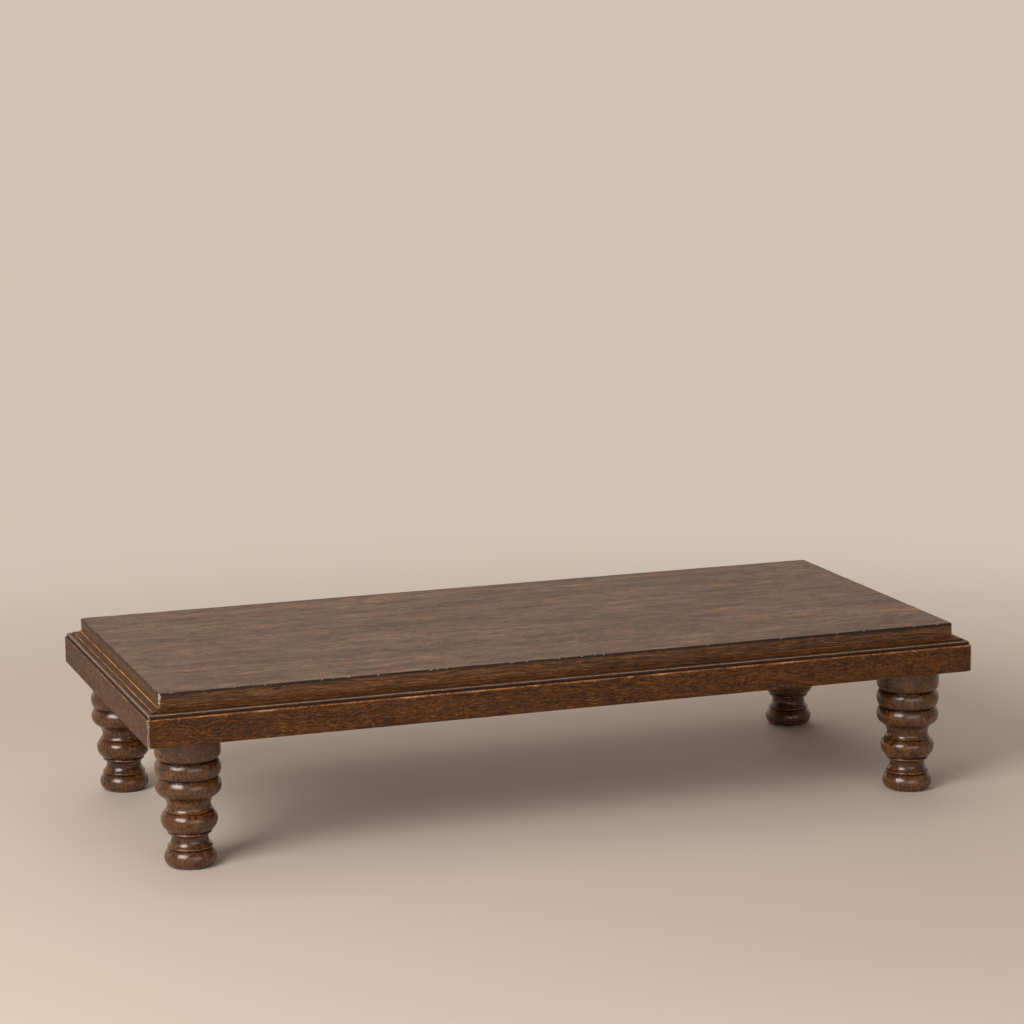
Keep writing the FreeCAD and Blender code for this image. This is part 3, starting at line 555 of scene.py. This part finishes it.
def wood(name, turn, look):
    """Dark stained hardwood. The look holds its tones, the sizes of its figure in millimetres, and its gloss.

    The turn lays the grain along the piece.
    """
    material, tree = blank(name)
    place = add(tree, "ShaderNodeTexCoord", out="Object")
    point = add(tree, "ShaderNodeMapping", {"Vector": place, "Rotation": turn, "Scale": (1000, 1000, 1000)})

    # The grain wanders: first in long waves, then in small curls
    bends = [point]
    for size, amount in (look["wave"], look["curl"], look["fray"]):
        drift = add(tree, NOISE, {"Vector": bends[-1], "Scale": 1 / size, "Detail": 2.0}, out="Color")
        swing = add(tree, VECTOR, drift, (0.5, 0.5, 0.5), operation="SUBTRACT")
        swing = add(tree, VECTOR, {0: swing, "Scale": amount}, operation="SCALE")
        bends.append(add(tree, VECTOR, bends[-1], swing, operation="ADD"))
    straight, waved, curled, frayed = bends

    # Each part of the figure has its size along, across and through the board, its detail and its roughness
    figure = {}
    for part, source, sizes, detail, rough in (
        ("streaks", curled, look["streaks"], 6.0, 0.68),
        ("bands", waved, look["bands"], 3.0, 0.5),
        ("fibres", curled, look["fibres"], 3.0, 0.6),
        ("dark_flecks", curled, look["dark_flecks"], 3.0, 0.55),
        ("light_flecks", frayed, look["light_flecks"], 3.0, 0.55),
        ("ragged", straight, look["ragged"], 4.0, 0.65),
        ("sheen", waved, look["patches"], 3.0, 0.5),
    ):
        scaled = add(tree, VECTOR, source, sizes, operation="DIVIDE")
        figure[part] = add(tree, NOISE, {"Vector": scaled, "Scale": 1.0, "Detail": detail, "Roughness": rough})
    drawn = add(tree, MIX, {0: look["band_part"], 2: figure["streaks"], 3: figure["bands"]}, data_type="FLOAT")
    colour = add(tree, "ShaderNodeValToRGB", drawn, stops=look["tones"])
    # Faces that look up are painted lighter and greyer: a painted reflection of the bright backdrop.
    faced = add(tree, SPLIT, add(tree, "ShaderNodeNewGeometry", out="Normal"), out=None)[2]
    upward_sheen = add(tree, RANGE, faced, 0.6, 0.95, **SMOOTH)
    colour = add(tree, "ShaderNodeHueSaturation", {
        "Color": colour, "Fac": upward_sheen, "Value": look["faded"], "Saturation": look["upward_sheen_saturation"]})

    # The pieces carry where they are rubbed and where painted glints lie, where dirt and painted shade darken them,
    # where a grey painted highlight runs along the nose, and where they are chipped with pale knocks that are partly
    # a painted highlight. The ragged noise breaks those places up.
    marks = {mark: add(tree, "ShaderNodeAttribute", out="Fac", attribute_name=mark)
             for mark in ("wear_and_glint", "grime_and_shade", "painted_sheen", "chip_and_glint")}
    ragged = figure["ragged"]
    # Rubbed wood with painted glints, pale knocks that are partly a painted highlight, and the painted grey sheen
    # line, each broken up by the ragged noise.
    rubbed = add(tree, MATH, ragged, 0.9, marks["wear_and_glint"], operation="MULTIPLY_ADD")
    knock_and_glint = add(tree, MATH, ragged, 2.2, marks["chip_and_glint"], operation="MULTIPLY_ADD")
    waxed = add(tree, MATH, ragged, 0.8, marks["painted_sheen"], operation="MULTIPLY_ADD")
    nests = add(tree, "ShaderNodeTexVoronoi", {"Vector": frayed, "Scale": 1 / look["pit_spacing"]}, out="Distance")
    rub_from, dark_from, light_from = look["rub_from"], look["dark_from"], look["light_from"]
    # Each layer lies over the last: what it follows, where it starts, where it is full, its share and its tone
    layers = [
        (figure["fibres"], 0.5, 0.34, look["fibre_part"], look["dark"]),
        (figure["dark_flecks"], dark_from, dark_from + 0.1, 0.85, look["dark"]),
        (figure["light_flecks"], light_from, light_from + 0.12, look["light_part"], look["light"]),
        (figure["sheen"], 0.52, 0.68, look["patch_part"], look["patch"]),
        (nests, look["pit_size"], look["pit_size"] * 0.55, 1.0, look["dark"]),
        # Dirt and painted shade darken creases, grooves and the places where parts meet.
        (marks["grime_and_shade"], 0.0, 1.0, look["shade_and_grime_part"], look["dark"]),
        # Rubbed wood is lighter, and its brightest part paints glints on lips and arrises.
        (rubbed, rub_from, rub_from + 0.35, 0.9, look["rubbed"]),
        (rubbed, rub_from + 0.35, rub_from + 0.65, 0.75, look["bright"]),
        # A grey painted highlight along the rail's nose.
        (waxed, 1.0, 1.4, 0.75, look["sheen_line_tone"]),
        # Pale knocks at corners, partly a painted highlight.
        (knock_and_glint, 1.72, 2.25, 0.8, look["knock_and_glint"]),
    ]
    for source, start, end, most, tone in layers:
        share = add(tree, RANGE, source, start, end, 0.0, most, **SMOOTH)
        colour = add(tree, MIX, {0: share, 6: colour, 7: linear(tone)}, out=2, data_type="RGBA")

    pits = add(tree, RANGE, nests, look["pit_size"], look["pit_size"] * 0.55, **SMOOTH)
    rough = add(tree, RANGE, figure["sheen"], 0.35, 0.65, *look["gloss"], **SMOOTH)
    rough = add(tree, MATH, pits, 0.3, rough, operation="MULTIPLY_ADD")
    relief = add(tree, MATH, pits, -0.5, operation="MULTIPLY")
    for part, depth in (("streaks", look["relief"]), ("fibres", look["relief"] * 0.4), ("ragged", look["dents"]),
                        ("light_flecks", look["scratches"])):
        relief = add(tree, MATH, figure[part], depth, relief, operation="MULTIPLY_ADD")
    bump = add(tree, "ShaderNodeBump", {"Height": relief, "Strength": 1.0, "Distance": 0.001})
    skin = add(tree, "ShaderNodeBsdfPrincipled", {
        "Base Color": colour, "Roughness": rough, "IOR": 1.5, "Specular IOR Level": look["shine"],
        "Coat Weight": look["coat"], "Coat Roughness": look["coat_rough"], "Coat IOR": look["coat_ior"],
        "Normal": bump})
    add(tree, "ShaderNodeOutputMaterial", {"Surface": skin})
    return material


# The rails: hand planed, stained dark and waxed. Short curling streaks, open pores, a low sheen.
# Real fibres are a tenth of a millimetre wide. These are drawn coarser, about as fine as the picture shows.
FRAME_LOOK = {
    "wave": (55.0, 22.0), "curl": (11.0, 3.6), "fray": (5.0, 3.0), "ragged": (2.6, 2.6, 2.6),
    "streaks": (15.0, 1.4, 1.4), "bands": (110.0, 10.0, 10.0), "band_part": 0.2,
    "tones": [(0.34, "#180b04"), (0.45, "#361d0b"), (0.55, "#543110"), (0.68, "#7f4e1e")],
    "fibres": (14.0, 0.6, 0.6), "fibre_part": 0.5, "dark": "#150a04", "light": "#a06a30",
    "dark_flecks": (9.0, 1.2, 1.2), "dark_from": 0.58, "light_flecks": (9.0, 1.0, 1.0), "light_from": 0.57,
    "light_part": 0.42, "patches": (16.0, 3.0, 3.0), "patch": "#3a2415", "patch_part": 0.2,
    # Faded and the upward sheen saturation paint upward faces lighter and greyer, a painted reflection.
    "pit_spacing": 26.0, "pit_size": 0.045, "shade_and_grime_part": 0.85, "faded": 1.1, "upward_sheen_saturation": 0.95,
    # The bright tone also paints glints, the sheen line tone is a painted highlight, and the knock tone is partly a
    # painted highlight.
    "rub_from": 0.7, "rubbed": "#93613a", "bright": "#c9a07a", "knock_and_glint": "#9f9187", "sheen_line_tone": "#9a887c",
    "gloss": (0.4, 0.5), "shine": 0.22, "coat": 0.0, "coat_rough": 0.3, "coat_ior": 1.5,
    "relief": 0.35, "dents": 0.12, "scratches": 0.0,
}
# The boards: the same wood, worn smooth and waxed more often. Soft bands, fine curled scratches and a wide sheen.
TOP_LOOK = dict(
    FRAME_LOOK,
    wave=(110.0, 22.0), curl=(16.0, 3.6), streaks=(58.0, 4.6, 1.6), bands=(260.0, 26.0, 10.0), band_part=0.28,
    tones=[(0.35, "#2c190c"), (0.46, "#4a2d16"), (0.55, "#664222"), (0.68, "#8b5e33")],
    fibres=(24.0, 2.4, 0.7), light_flecks=(14.0, 3.0, 1.1), light_from=0.57, light="#987450", light_part=0.42,
    dark_flecks=(22.0, 4.2, 1.4), dark_from=0.57, patches=(60.0, 18.0, 6.0), patch="#3a2a1e", patch_part=0.22,
    # Upward faces are painted much lighter and greyer here: a painted reflection of the backdrop.
    gloss=(0.43, 0.48), shine=0.32, relief=0.25, dents=0.1, scratches=0.3, shade_and_grime_part=0.9, faded=1.3, upward_sheen_saturation=0.8,
    knock_and_glint="#b0a397",
)
# The legs: turned, stained and polished. Mottled, with dark pits and a brighter gloss.
LEG_LOOK = dict(
    FRAME_LOOK,
    wave=(24.0, 12.0), curl=(6.0, 5.0), streaks=(4.5, 3.2, 3.2), bands=(26.0, 15.0, 15.0), band_part=0.35,
    fibres=(5.0, 1.4, 1.4), fibre_part=0.3,
    tones=[(0.32, "#1e0f06"), (0.44, "#42250f"), (0.55, "#5e391a"), (0.70, "#86552d")],
    dark_flecks=(3.4, 1.8, 1.8), dark_from=0.58, light_flecks=(3.0, 1.2, 1.2), light_from=0.57, light="#a4723e",
    light_part=0.35, patches=(14.0, 9.0, 9.0), patch="#2b190d", patch_part=0.35,
    pit_spacing=6.5, pit_size=0.23, gloss=(0.35, 0.45), shine=0.0, coat=1.0, coat_rough=0.27, coat_ior=1.6,
    # The bright tone paints glints on the lips under the grooves.
    relief=0.25, dents=0.15, rub_from=0.85, rubbed="#8a5a30", bright="#d2a485", shade_and_grime_part=0.95,
    faded=1.0, upward_sheen_saturation=1.0,
)
# Inside the frame: the same hardwood as it left the saw, stained thin and not waxed. Dull and fibrous.
INNER_LOOK = dict(
    FRAME_LOOK,
    tones=[(0.33, "#3d2512"), (0.46, "#56371d"), (0.56, "#6d492a"), (0.70, "#8c6340")], dark="#26160b",
    gloss=(0.62, 0.75), shine=0.25, relief=0.6,
)


def old_steel():
    """Cut steel screws, browned with age. Spots of rust a millimetre or so across dull the metal."""
    material, tree = blank("browned_screw_steel")
    place = add(tree, "ShaderNodeTexCoord", out="Object")
    spots = add(tree, NOISE, {"Vector": place, "Scale": 900.0, "Detail": 4.0})
    colour = add(tree, "ShaderNodeValToRGB", spots, stops=[(0.4, "#6f6a63"), (0.55, "#4b433b"), (0.7, "#5b3a22")])
    rough = add(tree, RANGE, spots, 0.4, 0.7, 0.35, 0.7, **SMOOTH)
    skin = add(tree, "ShaderNodeBsdfPrincipled", {"Base Color": colour, "Metallic": 1.0, "Roughness": rough})
    add(tree, "ShaderNodeOutputMaterial", {"Surface": skin})
    return material


ALONG_X, ALONG_Y, ALONG_Z = (0, 0, 0), (0, 0, math.pi / 2), (0, math.pi / 2, 0)
top_wood = wood("waxed_hardwood_top", ALONG_X, TOP_LOOK)
long_wood = wood("waxed_hardwood_long_rail", ALONG_X, FRAME_LOOK)
short_wood = wood("waxed_hardwood_short_rail", ALONG_Y, FRAME_LOOK)
leg_wood = wood("polished_hardwood_turned", ALONG_Z, LEG_LOOK)
inner_long = wood("sawn_hardwood_long", ALONG_X, INNER_LOOK)
inner_cross = wood("sawn_hardwood_cross", ALONG_Y, INNER_LOOK)
screw_steel = old_steel()

# The dressed pieces

rails = rail_tree()
make_rail("front_rail", rails, LENGTH, 0.0, WIDTH / 2, 1.0, LONG_RAIL_WORN, long_wood)
make_rail("back_rail", rails, LENGTH, math.pi, WIDTH / 2, 2.0, LONG_RAIL_WORN, long_wood)
make_rail("left_rail", rails, WIDTH, -math.pi / 2, LENGTH / 2, 3.0, SHORT_RAIL_WORN_AND_GLINT, short_wood)
make_rail("right_rail", rails, WIDTH, math.pi / 2, LENGTH / 2, 4.0, SHORT_RAIL_WORN_AND_GLINT, short_wood)
legs = leg_tree()
for number, corner in enumerate(CORNERS):
    make_leg(corner, legs, 11.0 + number, leg_wood)
third = (WIDTH - 2 * INSET) / 3
make_board("top_board_front", -1.5 * third, -0.5 * third, True, False, top_wood)
make_board("top_board_middle", -0.5 * third, 0.5 * third, False, False, top_wood)
make_board("top_board_back", 0.5 * third, 1.5 * third, False, True, top_wood)

# The pieces inside the frame keep their solids

for name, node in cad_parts.items():
    if node.hide_render:
        continue
    chosen = screw_steel if "screws" in name else inner_cross if "batten" in name else inner_long
    for slot in node.material_slots:
        slot.material = chosen

# Studio

BACKDROP = "#d3c3b4"


def floor_paint():
    """A plain pale floor. Far from the table the camera sees it fade into the backdrop's own colour."""
    material, tree = blank("plain_floor")
    skin = add(tree, "ShaderNodeBsdfPrincipled", {
        "Base Color": linear("#cfc3b9"), "Roughness": 0.8, "Specular IOR Level": 0.2})
    glow = add(tree, "ShaderNodeEmission", {"Color": linear(BACKDROP)})
    place = add(tree, "ShaderNodeTexCoord", out="Object")
    away = add(tree, VECTOR, place, out="Value", operation="LENGTH")
    faded = add(tree, RANGE, away, 0.6, 1.7, **SMOOTH)
    seen = add(tree, "ShaderNodeLightPath", out="Is Camera Ray")
    share = add(tree, MATH, faded, seen, operation="MULTIPLY")
    add(tree, "ShaderNodeOutputMaterial", {"Surface": add(tree, "ShaderNodeMixShader", share, skin, glow)})
    return material


def soft_sky():
    """Soft light from all round, brightest low down and behind the table."""
    world = bpy.data.worlds.new("studio")
    world.use_nodes = True
    tree = world.node_tree
    tree.nodes.clear()
    way = add(tree, "ShaderNodeTexCoord", out="Generated")
    height = add(tree, RANGE, add(tree, SPLIT, way, out=None)[2], 0.0, 0.9, **SMOOTH)
    tone = add(tree, MIX, {0: height, 6: linear("#d8c5b3"), 7: linear("#857c74")}, out=2, data_type="RGBA")
    behind = add(tree, SPLIT, way, out=None)[1]
    strength = add(tree, RANGE, behind, -0.2, 1.0, 0.42, 1.3, **SMOOTH)
    around = add(tree, "ShaderNodeBackground", {"Color": tone, "Strength": strength})
    seen = add(tree, "ShaderNodeBackground", {"Color": linear(BACKDROP), "Strength": 1.0})
    camera_ray = add(tree, "ShaderNodeLightPath", out="Is Camera Ray")
    add(tree, "ShaderNodeOutputWorld", {"Surface": add(tree, "ShaderNodeMixShader", camera_ray, around, seen)})
    return world


def softbox(name, place, target, size, power, colour, seen_in_gloss=True):
    """A large soft lamp. One that isn't seen in gloss lights the floor and leaves no streak on the top."""
    lamp = bpy.data.lights.new(name, "AREA")
    lamp.shape, lamp.size, lamp.size_y = "RECTANGLE", size[0], size[1]
    lamp.energy = power
    lamp.color = linear(colour)[:3]
    holder = bpy.data.objects.new(name, lamp)
    holder.location = place
    holder.visible_glossy = seen_in_gloss
    holder.rotation_euler = (Vector(target) - Vector(place)).to_track_quat("-Z", "Y").to_euler()
    bpy.context.scene.collection.objects.link(holder)


# The floor reaches so far in metres that no view sees its edge
far = 9.0
mesh = bpy.data.meshes.new("floor")
mesh.from_pydata([(-far, -far, 0), (far, -far, 0), (far, far, 0), (-far, far, 0)], [], [(0, 1, 2, 3)])
mesh.materials.append(floor_paint())
floor = bpy.data.objects.new("floor", mesh)
bpy.context.scene.collection.objects.link(floor)
softbox("main_light", (-2.3, -1.5, 1.7), (0, 0, 0.1), (1.7, 1.3), 84, "#fff6ee")
softbox("overhead_light", (-0.2, 0.3, 2.6), (0, 0, 0), (2.6, 2.6), 14, "#fff8f0")
softbox("front_light", (0.2, -2.6, 0.8), (0, 0, 0.0), (2.4, 1.0), 15, "#fff8f0")
softbox("low_back_light", (0.5, 3.0, 0.9), (0, 0, 0.0), (2.5, 1.0), 30, "#fff8f0", seen_in_gloss=False)
bpy.context.scene.world = soft_sky()

# The camera stands where the photograph was taken from: at the front left, a little above the top

# Its place in metres, its lens in millimetres and its turns in radians
CAMERA_PLACE, LENS = (-1.0889, -3.1850, 0.9118), 109.705
YAW, PITCH, ROLL = 0.33013, 0.17652, -0.01304
camera = bpy.data.cameras.new("camera")
camera.sensor_width = 36.0
camera.lens = LENS
camera.clip_end = 100.0
holder = bpy.data.objects.new("camera", camera)
forward = Vector((math.sin(YAW) * math.cos(PITCH), math.cos(YAW) * math.cos(PITCH), -math.sin(PITCH)))
right = Vector((math.cos(YAW), -math.sin(YAW), 0.0))
up = right.cross(forward)
tilted_right = right * math.cos(ROLL) + up * math.sin(ROLL)
tilted_up = up * math.cos(ROLL) - right * math.sin(ROLL)
turn = Matrix((tilted_right, tilted_up, -forward)).transposed()
holder.matrix_world = Matrix.Translation(CAMERA_PLACE) @ turn.to_4x4()
bpy.context.scene.collection.objects.link(holder)
bpy.context.scene.camera = holder
bpy.context.scene.view_settings.view_transform = "Standard"
